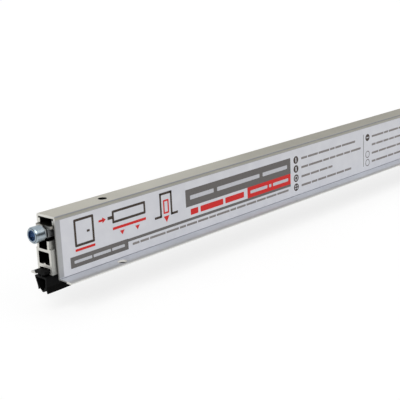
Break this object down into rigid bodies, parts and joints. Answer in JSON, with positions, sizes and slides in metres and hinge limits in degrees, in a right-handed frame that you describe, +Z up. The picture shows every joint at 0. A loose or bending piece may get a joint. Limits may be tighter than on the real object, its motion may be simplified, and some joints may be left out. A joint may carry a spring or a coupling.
{
  "type": "automatic door bottom seal",
  "caption": "Hat-section aluminium door bottom seal: pressing the end plunger slides a bar, bows leaf springs and drops a rubber seal out of the flanged housing.",
  "frame": {"origin": "centre of the base of the whole part's box, level with the tips of the seal's lips", "axes": "+X along the seal from the plunger end to the far end, +Y across it away from the label, +Z up towards the door leaf"},
  "size_m": [0.4378, 0.027, 0.0329],
  "materials": {
    "anodised_aluminium": "satin anodised",
    "mill_aluminium": "mill finish",
    "label_film": "silver-white film",
    "black_rubber": "matt",
    "black_nylon": "moulded",
    "spring_steel": "rolled",
    "zinc_casting": "die cast",
    "zinc_plated_steel": "bright zinc"
  },
  "bodies": {
    "housing": {"housing": "anodised_aluminium", "label": "label_film", "near_anchor": "black_nylon", "far_anchor": "black_nylon", "near_anchor_rivet": "zinc_plated_steel", "far_anchor_rivet": "zinc_plated_steel", "near_grub_screw": "zinc_plated_steel", "far_grub_screw": "zinc_plated_steel", "near_leaf_spring": "spring_steel", "far_leaf_spring": "spring_steel"},
    "pusher": {"pusher_bar": "zinc_plated_steel", "slider_block": "zinc_casting", "block_rivets": "zinc_plated_steel", "plunger": "zinc_plated_steel", "lock_nut": "zinc_plated_steel", "near_spring_rivet": "zinc_plated_steel", "far_spring_rivet": "zinc_plated_steel"},
    "carrier": {"carrier": "mill_aluminium", "seal": "black_rubber", "near_cross_pin": "zinc_plated_steel", "far_cross_pin": "zinc_plated_steel"}
  },
  "joints": [
    {"name": "plunger_push", "type": "slide", "parent": "housing", "child": "pusher", "axis": [1, 0, 0], "range_m": [0, 0.006], "stiffness_N_per_m": 3000, "springref_m": -0.002, "deforming": ["near_leaf_spring", "far_leaf_spring"]},
    {"name": "seal_drop", "type": "slide", "parent": "housing", "child": "carrier", "axis": [0, 0, -1], "range_m": [0, 0.0105]}
  ],
  "couplings": [
    {"joint": "seal_drop", "follows": "plunger_push", "ratio": 1.75}
  ]
}
